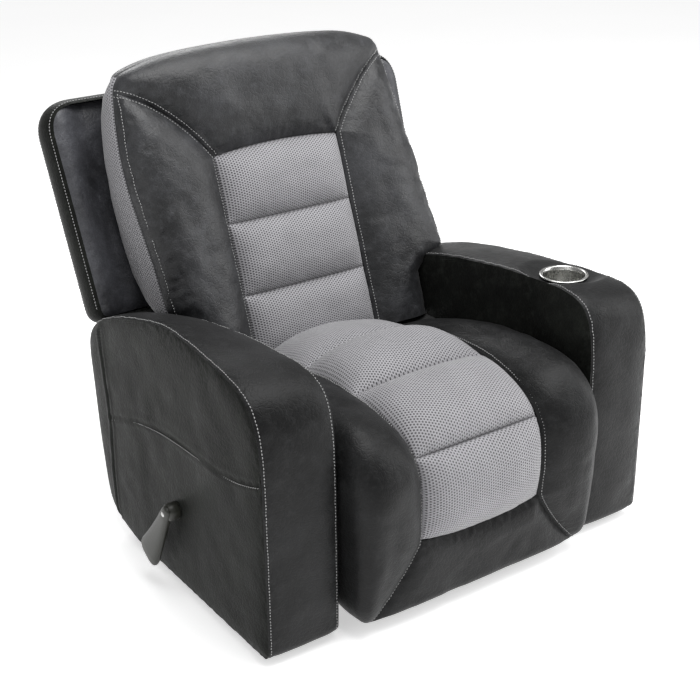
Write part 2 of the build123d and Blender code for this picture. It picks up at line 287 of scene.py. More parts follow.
def mesh_fabric(name, dark, light):
    """Grey spacer mesh: rows of small oval cells in a hexagonal pattern, in the flat pattern's metres."""
    m, t, p, at = nodes_of(name)
    uv = add(t, "ShaderNodeUVMap", uv_map="flat").outputs["UV"]
    k = 2 * math.pi / MESH_PITCH
    waves = []
    for direction in ((k, 0, 0), (k * 0.5, k * 0.98, 0), (k * 0.5, -k * 0.98, 0)):
        d = add(t, "ShaderNodeVectorMath", operation="DOT_PRODUCT")
        t.links.new(uv, d.inputs[0])
        d.inputs[1].default_value = direction
        c = add(t, "ShaderNodeMath", operation="COSINE")
        t.links.new(d.outputs["Value"], c.inputs[0])
        waves.append(c.outputs[0])
    total = waves[0]
    for wave in waves[1:]:
        both = add(t, "ShaderNodeMath", operation="ADD")
        t.links.new(total, both.inputs[0])
        t.links.new(wave, both.inputs[1])
        total = both.outputs[0]
    cells = add(t, "ShaderNodeMapRange")
    cells.inputs["From Min"].default_value = -1.5
    cells.inputs["From Max"].default_value = 2.4
    t.links.new(total, cells.inputs["Value"])
    thread = noise(t, at, 900.0, 2.0)
    cloud = noise(t, at, 14.0, 4.0)
    tone = ramp(t, cells.outputs[0], [(0.0, light), (0.38, light), (0.80, dark)])
    tone = mix(t, tone, ramp(t, cloud, [(0.3, 0.86), (0.7, 1.0)]), 0.8, "MULTIPLY")
    tone = mix(t, tone, ramp(t, thread, [(0.3, 0.75), (0.7, 1.0)]), 0.6, "MULTIPLY")
    t.links.new(tone, p.inputs["Base Color"])
    p.inputs["Roughness"].default_value = 0.62
    p.inputs["Sheen Weight"].default_value = 0.35
    p.inputs["Sheen Roughness"].default_value = 0.4
    deep = ramp(t, cells.outputs[0], [(0.3, 1), (0.9, 0)])
    bump(t, p, [(deep, 0.0016, 1.0), (thread, 0.0003, 0.4)])
    return m


def metal(name, color, rough, scratch, coat=0.0, metallic=1.0):
    m, t, p, at = nodes_of(name)
    fine = noise(t, at, scratch, 3.0)
    wide = noise(t, at, 12.0, 4.0)
    dull = (*[c * 0.72 for c in color], 1)
    tone = mix(t, (*color, 1), dull, ramp(t, wide, [(0.35, 0), (0.75, 0.8)]))
    t.links.new(tone, p.inputs["Base Color"])
    low, high = rough * 0.8, rough * 1.25
    t.links.new(ramp(t, fine, [(0.3, low), (0.7, high)]), p.inputs["Roughness"])
    p.inputs["Metallic"].default_value = metallic
    p.inputs["Coat Weight"].default_value = coat
    bump(t, p, [(fine, 0.0002, 0.25)])
    return m


def brushed(name):
    """Spun stainless steel: fine rings round the object's own Z axis, and painted reflection bands by angle round it.
    """
    m, t, p, at = nodes_of(name)
    rings = add(t, "ShaderNodeTexWave", wave_type="RINGS", rings_direction="Z")
    for socket, value in (("Scale", 300.0), ("Distortion", 0.3), ("Detail", 0.0)):
        rings.inputs[socket].default_value = value
    t.links.new(at, rings.inputs["Vector"])
    wide = noise(t, at, 60.0, 3.0)
    around = add(t, "ShaderNodeTexGradient", gradient_type="RADIAL")
    t.links.new(at, around.inputs["Vector"])
    # painted reflection: bright and dark vertical bands in the base colour, by angle round the cup
    painted_reflection_bands = [(0.0, 0.5), (0.07, 0.9), (0.13, 0.45), (0.20, 0.95), (0.26, 0.5), (0.33, 0.9), (0.40, 0.4), (0.47, 0.85),
             (0.55, 0.5), (0.63, 0.95), (0.70, 0.45), (0.78, 0.9), (0.86, 0.5), (0.94, 0.85),
             (1.0, 0.5)]
    painted_reflection_bands = ramp(t, around.outputs["Fac"], [(a, (v * 0.8, v * 0.8, v * 0.78)) for a, v in painted_reflection_bands])
    fine = ramp(t, rings.outputs["Fac"], [(0, (0.80, 0.80, 0.79)), (1, 1.0)])
    tone = mix(t, painted_reflection_bands, fine, 0.5, "MULTIPLY")
    t.links.new(tone, p.inputs["Base Color"])
    t.links.new(ramp(t, wide, [(0.3, 0.20), (0.7, 0.32)]), p.inputs["Roughness"])
    p.inputs["Metallic"].default_value = 1.0
    p.inputs["Anisotropic"].default_value = 0.5
    bump(t, p, [(rings.outputs["Fac"], 0.00003, 0.1)])
    return m


def wood(name):
    m, t, p, at = nodes_of(name)
    grain = add(t, "ShaderNodeTexWave", Scale=26.0, Distortion=5.0, Detail=3.0)
    t.links.new(at, grain.inputs["Vector"])
    pores = noise(t, at, 300.0)
    tone = ramp(t, grain.outputs["Fac"], [(0.1, (0.33, 0.27, 0.20)), (0.9, (0.46, 0.39, 0.30))])
    tone = mix(t, tone, (0.3, 0.19, 0.1, 1), ramp(t, pores, [(0.55, 0), (0.75, 0.6)]))
    t.links.new(tone, p.inputs["Base Color"])
    t.links.new(ramp(t, pores, [(0.3, 0.55), (0.7, 0.75)]), p.inputs["Roughness"])
    bump(t, p, [(grain.outputs["Fac"], 0.0004, 0.3), (pores, 0.0003, 0.3)])
    return m


def moulded(name, color, rough, grain_scale=700.0):
    """Moulded plastic or rubber with a fine spark texture."""
    m, t, p, at = nodes_of(name)
    spark = noise(t, at, grain_scale, 2.0)
    wide = noise(t, at, 22.0, 4.0)
    pale = (*[c * 1.5 for c in color], 1)
    tone = mix(t, (*color, 1), pale, ramp(t, wide, [(0.4, 0), (0.75, 0.6)]))
    t.links.new(tone, p.inputs["Base Color"])
    t.links.new(ramp(t, spark, [(0.3, rough * 0.85), (0.7, min(1, rough * 1.15))]), p.inputs["Roughness"])
    bump(t, p, [(spark, 0.0002, 0.4)])
    return m


def thread(name, color):
    m, t, p, at = nodes_of(name)
    twist = noise(t, at, 1800.0, 2.0)
    t.links.new(ramp(t, twist, [(0.3, tuple(c * 0.7 for c in color)), (0.7, color)]), p.inputs["Base Color"])
    p.inputs["Roughness"].default_value = 0.55
    p.inputs["Sheen Weight"].default_value = 0.3
    bump(t, p, [(twist, 0.0003, 0.5)])
    return m


# the darkest, middle and lightest tone, the wear, and the specular level of each leather; all four are one hide, toned
# as painted light and shade: the seat and side copies are darkened with painted shade, and the wing copy is lightened
# with painted light
LEATHER = leather(
    "charcoal leather", (0.0095, 0.0098, 0.0110), (0.0190, 0.0195, 0.0215), (0.038, 0.039, 0.043), 0.5, 0.44
)
# painted shade: the same hide darkened for the chaise's leather, the footrest border and the arm tops
LEATHER_SEAT_PAINTED_SHADE = leather(
    "charcoal leather seat painted shade", (0.0045, 0.0046, 0.0048), (0.0085, 0.0087, 0.0090), (0.018, 0.0185, 0.019), 0.5, 0.17
)
# painted shade: the same hide darkened further for the arm sides and the outer back's boxing and rear
LEATHER_SIDE_PAINTED_SHADE = leather(
    "charcoal leather side painted shade", (0.0050, 0.0055, 0.0047), (0.0085, 0.0092, 0.0080), (0.015, 0.0165, 0.0142), 0.8, 0.05
)
# painted light: the same hide lightened for the fronts of the wings
LEATHER_WING_PAINTED_LIGHT = leather(
    "charcoal leather wing painted light", (0.021, 0.0215, 0.0245), (0.050, 0.051, 0.058), (0.080, 0.082, 0.093), 0.3, 0.45
)
LINING = moulded("black lining", (0.012, 0.012, 0.012), 0.85, 1200.0)
MESH = mesh_fabric("grey spacer mesh", (0.066, 0.065, 0.071), (0.320, 0.315, 0.332))
THREAD = thread("grey thread", (0.36, 0.36, 0.36))
STEEL = metal("satin black steel", (0.03, 0.03, 0.032), 0.38, 240.0, 0.2, 0.0)
ZINC = metal("zinc steel", (0.55, 0.55, 0.54), 0.3, 500.0)
CUP_STEEL = brushed("spun stainless steel with painted reflections")
LEVER = moulded("olive grey moulding", (0.020, 0.021, 0.0165), 0.42)
RUBBER = moulded("black rubber", (0.012, 0.012, 0.012), 0.7)
WOOD = wood("pine and plywood")
WEB = moulded("elastic webbing", (0.05, 0.05, 0.05), 0.8, 260.0)


# ---- stitching
STITCH_PITCH, STITCH_LENGTH, STITCH_R = 0.0068, 0.0046, 0.0009
SEAM_GAP = 0.0065  # from a seam to the stitches beside it


def stitches(name, path, normals, lift=0.0006):
    """A row of thread stitches along a path; each is a short bowed capsule that dips at both ends."""
    path, normals = np.asarray(path, float), np.asarray(normals, float)
    step = arc(path)
    total = step[-1]
    n = max(1, int(total / STITCH_PITCH))
    verts, faces = [], []
    sides, rings = 6, 5
    for k in range(n):
        mid = (k + 0.5) / n * total
        s = mid + np.linspace(-0.5, 0.5, rings) * STITCH_LENGTH
        c = np.stack([np.interp(s, step, path[:, a]) for a in range(3)], 1)
        nn = np.stack([np.interp(s, step, normals[:, a]) for a in range(3)], 1)
        nn = unit(nn)
        tangent = c[-1] - c[0]
        tangent /= np.linalg.norm(tangent) + 1e-12
        start = len(verts)
        for r in range(rings):
            q = 2 * r / (rings - 1) - 1
            rr = STITCH_R * math.sqrt(max(0.12, 1 - q * q))
            centre = c[r] + nn[r] * (lift - 0.0009 * q * q)
            across = np.cross(tangent, nn[r])
            for a in range(sides):
                w = 2 * math.pi * a / sides
                verts.append(centre + rr * (math.cos(w) * across + math.sin(w) * nn[r]))
        faces += sheet_faces(sides, rings, closed=True, start=start)
        faces.append(tuple(start + a for a in range(sides))[::-1])
        faces.append(tuple(start + (rings - 1) * sides + a for a in range(sides)))
    return mesh_object(name, verts, faces, THREAD)


# ---- upholstery in a flat pattern (x, v)
def away(x, v, line):
    """Distance of each point from a polyline, all in the flat pattern."""
    line = np.asarray(line, float)
    px, pv = np.asarray(x, float).ravel(), np.asarray(v, float).ravel()
    best = np.full(px.shape, 1e9)
    for a, b in zip(line[:-1], line[1:]):
        d = b - a
        k = np.clip(((px - a[0]) * d[0] + (pv - a[1]) * d[1]) / (d @ d + 1e-15), 0, 1)
        best = np.minimum(best, (px - a[0] - k * d[0]) ** 2 + (pv - a[1] - k * d[1]) ** 2)
    return np.sqrt(best).reshape(np.shape(x))


def swell(d, high, reach):
    return high * (1 - np.exp(-d / reach))


def puckers(d, x, v, seed, deep=0.0022, reach=0.012, size=0.010):
    """Small gathers that fade away from a seam."""
    fold = noise2((x + 0.6 * v) / size, (v - 0.6 * x) / size, seed)
    return deep * fold * np.exp(-d / reach) * (1 - np.exp(-d / 0.002))


def undulate(x, v, seed, deep=0.0025, size=0.06):
    return deep * (noise2(x / size, v / size, seed) + 0.5 * noise2(2.3 * x / size, 2.3 * v / size, seed + 5))


def bend(points, n=24):
    """Quadratic curve through a start, a pull point and an end."""
    a, c, b = (np.array(p, float) for p in points)
    t = np.linspace(0, 1, n)[:, None]
    return (1 - t) ** 2 * a + 2 * t * (1 - t) * c + t * t * b


def mitred(a, b, inner, outer, line):
    """(x, v) grids from an inner edge to an outer one, whose two sides follow a mitre line."""
    q = np.linspace(0, 1, len(line))
    mx, mv = np.interp(b, q, line[:, 0]), np.interp(b, q, line[:, 1])
    w = np.abs(a) ** 3
    start, end = line[0], line[-1]
    x = inner[0] * (1 - b) + outer[0] * b + np.sign(a) * w * (mx - (start[0] * (1 - b) + end[0] * b))
    v = inner[1] * (1 - b) + outer[1] * b + w * (mv - (start[1] * (1 - b) + end[1] * b))
    return x, v


def channel(name, start, stop, edge, half, wide, place, high, gather, seed, flip=False):
    """One sewn channel of a grey panel; half gives the panel's half width, edge a curved far seam."""
    rows, cols = count(stop - start, 0.0035), count(wide, 0.0035)
    tau = np.linspace(0, 1, rows)[:, None]
    u = packed(cols, 1.25)[None]
    x = u * half(start + (stop - start) * tau + 0 * u)
    end = edge(x) if edge else stop + 0 * x
    v = start + (end - start) * tau
    inside = half(v) - np.abs(x)
    along_v = np.minimum(v - start, end - v)
    d = np.minimum(along_v, inside)
    dome = (1 - np.abs(2 * tau - 1) ** 2.6) ** 0.75
    h = high * dome * (1 - np.exp(-inside / 0.024)) + puckers(along_v, x, v, seed, *gather, 0.012)
    h += undulate(x, v, seed, 0.0010, 0.05) * (1 - np.exp(-d / 0.02)) - 0.004 * np.exp(-d / 0.002)
    return patch(name, place(x, v, h), np.stack([x, v], -1), MESH, flip)


# ---- chaise: seat and footrest in one cover
CHAISE = Profile(
    [(0.145, 0.312), (0.125, 0.325), (0.090, 0.343), (0.035, 0.365), (-0.030, 0.388), (-0.093, 0.407), (-0.185, 0.422),
     (-0.275, 0.422), (-0.350, 0.412), (-0.415, 0.392), (-0.455, 0.364), (-0.474, 0.325), (-0.480, 0.265),
     (-0.476, 0.185), (-0.470, 0.110), (-0.464, 0.030)]
)
V_A, V_B, V_C = CHAISE.nearest(-0.093, 0.407), CHAISE.nearest(-0.275, 0.422), CHAISE.nearest(-0.459, 0.357)
V_END = CHAISE.nearest(-0.476, 0.183)
V_HEM = CHAISE.length - 0.004
PANEL_FOOT = 0.150  # half width of the panel at its lower end
HEM_CORNER = 0.262


def panel_half(v):
    return np.interp(v, [V_B, V_C, V_END], [0.165, 0.153, PANEL_FOOT])


def chaise_half(v):
    corner = np.clip((v - V_HEM + 0.050) / 0.050, 0, 1)
    wide = np.interp(v, [0, 0.05, V_B, V_C, V_HEM], [0.300, 0.308, 0.310, 0.306, 0.298])
    return wide - 0.030 * (1 - np.sqrt(1 - corner**2))


def chaise_place(x, v, h):
    y, z, ny, nz = CHAISE.at(v)
    return np.stack([x, y + h * ny, z + h * nz], -1)


rows_v = np.linspace(0, V_END, 60)
PANEL_SIDE = np.stack([panel_half(rows_v), rows_v], 1)
MITRE = bend([(PANEL_FOOT, V_END), (0.190, V_END + 0.080), (HEM_CORNER, V_HEM)])
SEAM_IN = np.vstack([PANEL_SIDE, MITRE[1:]])
rows_v = np.linspace(0, V_HEM, 80)
CHAISE_EDGE = np.stack([chaise_half(rows_v), rows_v], 1)


def panel_crown(x, v):
    """The middle of the seat stands above its side seams."""
    rise = np.interp(v, [0, 0.16, V_A, V_B, V_C], [0.034, 0.036, 0.030, 0.008, 0.0])
    return rise * (1 - (x / 0.165) ** 2)


def panel_end(x):
    return V_END + 0.012 * (1 - (x / PANEL_FOOT) ** 2)


def chaise_height(x, v, high, reach, seams, seed):
    ax = np.abs(x)
    d = np.minimum.reduce([away(ax, v, s) for s in seams])
    h = swell(d, high, reach) + puckers(d, x, v, seed)
    return h + undulate(x, v, seed + 3) * (1 - np.exp(-d / 0.03))


def edge_roll(h, e, radius, edge):
    """Rounds a height down to edge over the last radius of cloth."""
    k = np.clip(e / radius, 0, 1)
    return edge + (h - edge) * np.sqrt(np.maximum(0, 1 - (1 - k) ** 2.2))


def hem_taper(h, v):
    """Thins the padding towards the hem."""
    hem = np.clip((V_HEM - v) / 0.02, 0, 1)
    return h * (0.25 + 0.75 * np.sqrt(1 - (1 - hem) ** 2))


def bolster_rise(v):
    """The bolster is thin beside the back cushion and swells into the knee."""
    return np.interp(v, [0, V_A, V_B - 0.05, V_B + 0.05, V_C - 0.06, V_C + 0.03, V_C + 0.12],
                     [-0.026, -0.026, -0.018, -0.002, 0.018, 0.012, 0.0])


def chaise_bolster(side):
    rows, cols = count(V_HEM, 0.0045), count(0.2, 0.0042)
    # even steps along the cover, so that the two boundaries stay level with each other
    tau = np.linspace(0, 1, rows)
    levels = np.interp(tau, [0, 0.80, 1], [0, V_END, V_HEM])
    inner_x = np.where(levels <= V_END, panel_half(levels), np.interp(levels, MITRE[:, 1], MITRE[:, 0]))
    inner = np.stack([inner_x, levels], 1)
    outer = np.stack([chaise_half(levels), levels], 1)
    c = eased(cols, 1.7)
    x = inner[:, None, 0] * (1 - c) + outer[:, None, 0] * c
    v = np.repeat(levels[:, None], cols, 1)
    h = chaise_height(x, v, 0.031, 0.030, [SEAM_IN], 11 + side)
    h += bolster_rise(v) * (1 - np.exp(-np.maximum(x - inner[:, None, 0], 0) / 0.045))
    e = chaise_half(v) - x
    roll = np.interp(v, [V_C, V_END, V_HEM], [0.060, 0.050, 0.034])
    low = np.interp(v, [0, V_C, V_END, V_HEM], [-0.020, -0.020, -0.018, -0.010])
    h = hem_taper(edge_roll(h, e, roll, low), v)
    grid = chaise_place(side * x, v, h)
    # the side wall goes on down to the deck, and on the footrest back to the board
    y, z, _, _ = CHAISE.at(levels)
    f = smooth((levels - V_C + 0.10) / 0.14)
    deck_y, deck_z = y * (1 - f) - 0.368 * f, 0.356 * (1 - f) + np.minimum(z, 0.352) * f
    deck = np.stack([side * (outer[:, 0] - 0.004), deck_y, deck_z], 1)
    k = np.linspace(0, 1, count(0.09, 0.008))[1:, None, None]
    wall = grid[None, :, -1] * (1 - k) + deck[None] * k
    wall[..., 0] += side * 0.004 * np.sin(np.pi * k[..., 0])
    grid = np.concatenate([grid, np.transpose(wall, (1, 0, 2))], 1)
    wide = grid.shape[1]
    uv = np.stack([np.linspace(0, 0.3, wide)[None].repeat(rows, 0), levels[:, None].repeat(wide, 1)], -1)
    return patch("chaise bolster " + SIDES[side], grid, uv, LEATHER_SEAT_PAINTED_SHADE, flip=side < 0), deck


def crowned_place(x, v, h):
    return chaise_place(x, v, h + panel_crown(x, v))


def seat_channel(name, start, stop, high, seed, edge=None):
    return channel(name, start, stop, edge, panel_half, 0.33, crowned_place, high, (0.0020, 0.016), seed)


def chaise_border():
    """Leather below the grey panel, mitred into the bolsters."""
    cols, rows = count(0.5, 0.0042), count(0.15, 0.004)
    a = np.linspace(-1, 1, cols)[None]
    b = np.linspace(0, 1, rows)[:, None]
    inner = (a * PANEL_FOOT, panel_end(a * PANEL_FOOT))
    x, v = mitred(a, b, inner, (a * MITRE[-1, 0], V_HEM + 0 * a), MITRE)
    foot = np.linspace(-PANEL_FOOT, PANEL_FOOT, 40)
    edge = np.stack([foot, panel_end(foot)], 1)
    h = chaise_height(x, v, 0.016, 0.020, [SEAM_IN], 31)
    d2 = away(x, v, edge)
    h = hem_taper(np.minimum(h, swell(d2, 0.016, 0.016)) + puckers(d2, x, v, 33), v)
    grid = chaise_place(x, v, h)
    return patch("footrest lower border", grid, np.stack([x, v], -1), LEATHER_SEAT_PAINTED_SHADE)


def chaise_underside(left, right):
    k = np.linspace(0, 1, 12)[None, :, None]
    grid = left[:, None] * (1 - k) + right[:, None] * k
    hem_front = chaise_place(np.linspace(-HEM_CORNER, HEM_CORNER, 12), np.full(12, V_HEM), np.zeros(12))
    grid = np.concatenate([grid, hem_front[None]], 0)
    uv = np.zeros(grid.shape[:2] + (2,))
    return patch("chaise underside", grid, uv, LINING, flip=False)


def seam_row(name, line, place, height, offset):
    """A row of topstitching beside a seam."""
    line = resample(np.asarray(line, float), 160)
    t = unit(np.gradient(line, axis=0))
    x, v = line[:, 0] - t[:, 1] * offset, line[:, 1] + t[:, 0] * offset
    p = place(x, v, height(x, v))
    e = 0.0012
    du = place(x + e, v, height(x + e, v)) - p
    dv = place(x, v + e, height(x, v + e)) - p
    n = unit(np.cross(du, dv))
    ref = place(x, v, height(x, v) + 0.001) - p
    n *= np.sign((n * ref).sum(1))[:, None]
    return stitches(name + " row 1", p, n, 0.0007)


# the chaise's leather pieces use the seat copy of the hide, darkened as painted shade
chaise = []
bolster_r, deck_r = chaise_bolster(1)
bolster_l, deck_l = chaise_bolster(-1)
chaise += [bolster_r, bolster_l]
chaise.append(seat_channel("seat panel rear channel", 0.0, V_A, 0.024, 41))
chaise.append(seat_channel("seat panel middle channel", V_A, V_B, 0.032, 42))
chaise.append(seat_channel("seat panel front channel", V_B, V_C, 0.032, 43))
chaise.append(seat_channel("footrest panel", V_C, V_END, 0.033, 44, panel_end))
chaise.append(chaise_border())
chaise.append(chaise_underside(deck_l, deck_r))


def bolster_top(x, v):
    return chaise_height(x, v, 0.031, 0.030, [SEAM_IN], 12)


for side, word in SIDES.items():
    line = SEAM_IN * [side, 1]
    chaise.append(seam_row(f"chaise seam stitches {word}", line, chaise_place, bolster_top, side * -SEAM_GAP))
for o in chaise:
    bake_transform(o)
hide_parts("seat_cushion", "footrest_pad")


# ---- back: cushion on a winged outer back
LEAN = math.radians(19.5)
T_LOW, T_SEAM2, T_SEAM1, T_TOP = 0.348, 0.492, 0.652, 0.802
N_SEAM = -0.094
N_GUSSET = -0.070
BACK_PANEL = 0.160  # half width of the grey panel


def right_out(t):
    """How much farther the right bolster hangs out over its arm than the left one."""
    return np.interp(t, [0.450, 0.495, 0.535, 0.60, 0.66, 0.70, 0.76, 0.83, 0.90, 0.968],
                     [0.0, 0.060, 0.052, 0.037, 0.022, 0.014, -0.003, -0.018, -0.020, -0.014])


def shell_place(x, t, n):
    """A point of the back's own frame: t up along the back, n rearwards."""
    return np.stack([x, 0.07 + n * math.cos(LEAN) + t * math.sin(LEAN), -n * math.sin(LEAN) + t * math.cos(LEAN)], -1)


def back_place(x, t, h):
    """A point of the cushion, h in front of its seams."""
    return shell_place(x + right_out(t) * smooth((x - 0.20) / 0.14), t, N_SEAM - h)


def at_n(x, t, n):
    return back_place(x, t, N_SEAM - n)


def back_half(t):
    return np.interp(t, [0.37, 0.465, 0.495, 0.60, 0.66, 0.76, 0.83, 0.90, 0.968],
                     [0.310, 0.312, 0.336, 0.343, 0.350, 0.361, 0.363, 0.357, 0.347])


CORNER = (0.347, 0.968)
low_to_corner = np.linspace(T_LOW, CORNER[1], 70)
BACK_SIDE = np.stack([back_half(low_to_corner), low_to_corner], 1)
BACK_TOP = spline([(-0.347, 0.968), (-0.337, 0.990), (-0.308, 1.011), (-0.20, 1.033), (0, 1.040), (0.20, 1.031),
                   (0.308, 1.007), (0.336, 0.989), (0.347, 0.968)], 160)
BACK_EDGE = np.vstack([BACK_SIDE * [-1, 1], BACK_TOP[1:-1], BACK_SIDE[::-1]])
BACK_MITRE = bend([(BACK_PANEL, T_TOP), (0.232, 0.915), CORNER])
t_rows = np.linspace(T_LOW, T_TOP, 50)
BACK_SEAM = np.vstack([np.stack([np.full(50, BACK_PANEL), t_rows], 1), BACK_MITRE[1:]])


def head_edge(x):
    return T_TOP + 0.010 * (1 - (x / BACK_PANEL) ** 2)


head_x = np.linspace(-BACK_PANEL, BACK_PANEL, 40)
HEAD_LINE = np.stack([head_x, head_edge(head_x)], 1)


def back_finish(h, x, t, radius=0.082):
    e = away(x, t, BACK_EDGE)
    return edge_roll(h, e, radius, N_SEAM - N_GUSSET)


def back_bolster_height(x, t, seed=61):
    d = away(np.abs(x), t, BACK_SEAM)
    h = swell(d, 0.036, 0.032) + puckers(d, x, t, seed, 0.0026)
    h += undulate(x, t, seed, 0.0028, 0.055) * (1 - np.exp(-d / 0.03))
    e = away(x, t, BACK_EDGE)
    return back_finish(h, x, t) + puckers(e, x, t, seed + 5, 0.0034, 0.034, 0.015)


def head_height(x, t, seed=71):
    d = np.minimum(away(np.abs(x), t, BACK_MITRE), away(x, t, HEAD_LINE))
    h = swell(d, 0.042, 0.036) + puckers(d, x, t, seed, 0.0034, 0.020, 0.013)
    # drag lines that fan out from the panel's two top corners
    for s in (-1, 1):
        r = np.hypot(x - s * BACK_PANEL, t - T_TOP) + 1e-6
        turn = np.arctan2(t - T_TOP, s * (x - s * BACK_PANEL))
        h += 0.0030 * np.exp(-r / 0.055) * (1 - np.exp(-r / 0.012)) * np.sin(9 * turn + 0.6 * s)
    h += undulate(x, t, seed, 0.0026, 0.07) * (1 - np.exp(-d / 0.03))
    return back_finish(h, x, t)


def back_bolster(side):
    rows, cols = count(0.65, 0.0042), count(0.2, 0.0040)
    tau = np.linspace(0, 1, rows)
    split = 0.70
    lo = tau <= split
    inner = np.empty((rows, 2))
    inner[lo] = np.stack([np.full(lo.sum(), BACK_PANEL), T_LOW + (T_TOP - T_LOW) * tau[lo] / split], 1)
    k = (tau[~lo] - split) / (1 - split)
    m, q = resample(BACK_MITRE, 200), np.linspace(0, 1, 200)
    inner[~lo] = np.stack([np.interp(k, q, m[:, 0]), np.interp(k, q, m[:, 1])], 1)
    outer_t = np.interp(tau, [0, split, 1], [T_LOW, 0.80, CORNER[1]])
    outer = np.stack([back_half(outer_t), outer_t], 1)
    c = eased(cols, 1.9)
    x = inner[:, None, 0] * (1 - c) + outer[:, None, 0] * c
    t = inner[:, None, 1] * (1 - c) + outer[:, None, 1] * c
    h = back_bolster_height(side * x, t, 61 + side)
    name = "back bolster " + SIDES[side]
    return patch(name, back_place(side * x, t, h), np.stack([x, t], -1), LEATHER, flip=side > 0)


def headrest():
    cols, rows = count(0.55, 0.0042), count(0.25, 0.0040)
    a = np.linspace(-1, 1, cols)[None]
    b = eased(rows, 1.8)[:, None]
    top = resample(BACK_TOP, 400)
    s = np.linspace(-1, 1, 400)
    outer = (np.interp(a, s, top[:, 0]), np.interp(a, s, top[:, 1]))
    inner = (a * BACK_PANEL, head_edge(a * BACK_PANEL))
    x, t = mitred(a, b, inner, outer, resample(BACK_MITRE, 200))
    return patch("headrest", back_place(x, t, head_height(x, t)), np.stack([x, t], -1), LEATHER, flip=True)


def back_panel_half(t):
    return np.full_like(t, BACK_PANEL)


def back_channel(name, start, stop, high, seed, edge=None):
    return channel(name, start, stop, edge, back_panel_half, 0.32, back_place, high, (0.0018, 0.014), seed, True)


def gusset_rear(x, t):
    """Depth of the band's rear seam: the cushion thins towards its top corners."""
    side = np.interp(t, [0.50, 0.53, 0.59, 0.66, 0.738, 0.80, 0.86, 0.93, 0.968, 0.989],
                     [0.060, 0.090, 0.117, 0.115, 0.100, 0.085, 0.080, 0.070, 0.050, 0.022])
    top = np.interp(np.abs(x), [0.0, 0.20, 0.27, 0.31, 0.336], [0.120, 0.110, 0.080, 0.045, 0.022])
    return N_GUSSET + np.where(t > 0.989, top, side)


def back_gusset(name, line, material):
    """The band round the cushion's edge, from the front seam to the outer back."""
    rows, cols = count(0.6, 0.005), count(0.11, 0.004)
    e = resample(line, rows)
    k = np.linspace(0, 1, cols)[None]
    tangent = unit(np.gradient(e, axis=0))
    out = np.stack([-tangent[:, 1], tangent[:, 0]], 1)
    n = N_GUSSET + (gusset_rear(e[:, 0], e[:, 1])[:, None] - N_GUSSET) * k
    puff = 0.006 * np.sin(np.pi * k) ** 0.7 - 0.0015 * np.exp(-k / 0.03)
    x = e[:, None, 0] + out[:, None, 0] * puff
    t = e[:, None, 1] + out[:, None, 1] * puff
    uv = np.stack([n, np.linspace(0, 0.6, rows)[:, None] + 0 * x], -1)
    return patch(name, at_n(x, t, n + 0 * x), uv, material, flip=True)


back = [back_bolster(1), back_bolster(-1), headrest()]
back.append(back_channel("back panel top channel", T_SEAM1, T_TOP, 0.031, 81, head_edge))
back.append(back_channel("back panel middle channel", T_SEAM2, T_SEAM1, 0.031, 82))
back.append(back_channel("back panel lower channel", T_LOW, T_SEAM2, 0.028, 83))
back.append(back_gusset("back gusset left", np.vstack([BACK_SIDE * [-1, 1], BACK_TOP[1:9]]), MESH))
back.append(back_gusset("back gusset right", np.vstack([BACK_TOP[-9:-1], BACK_SIDE[::-1]]), MESH))
back.append(back_gusset("back gusset top", BACK_TOP[8:-8], LEATHER))


def back_rear_cover():
    """Closes the cushion behind, where it shows above the outer back."""
    e = resample(BACK_EDGE, 200)
    k = np.linspace(0, 1, 14)[None, :, None]
    g = e[:, None] * (1 - k) + np.array([0, 0.72]) * k
    bulge = 0.012 * (1 - np.exp(-away(g[..., 0], g[..., 1], BACK_EDGE) / 0.03))
    rim = gusset_rear(e[:, 0], e[:, 1])[:, None]
    n = rim * (1 - k[..., 0]) + 0.058 * k[..., 0] + bulge * 0.4
    return patch("back cushion rear", at_n(g[..., 0], g[..., 1], n), g, LEATHER, flip=True)


back.append(back_rear_cover())
for side, word in SIDES.items():
    for seam, line, height, gap in (
        ("back seam", BACK_SEAM, back_bolster_height, -SEAM_GAP),
        ("back rim", BACK_SIDE[12:], back_bolster_height, SEAM_GAP),
        ("headrest seam", BACK_MITRE, head_height, SEAM_GAP),
    ):
        back.append(seam_row(f"{seam} stitches {word}", line * [side, 1], back_place, height, side * gap))
for o in back:
    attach(o, "back")
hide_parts("back_cushion")


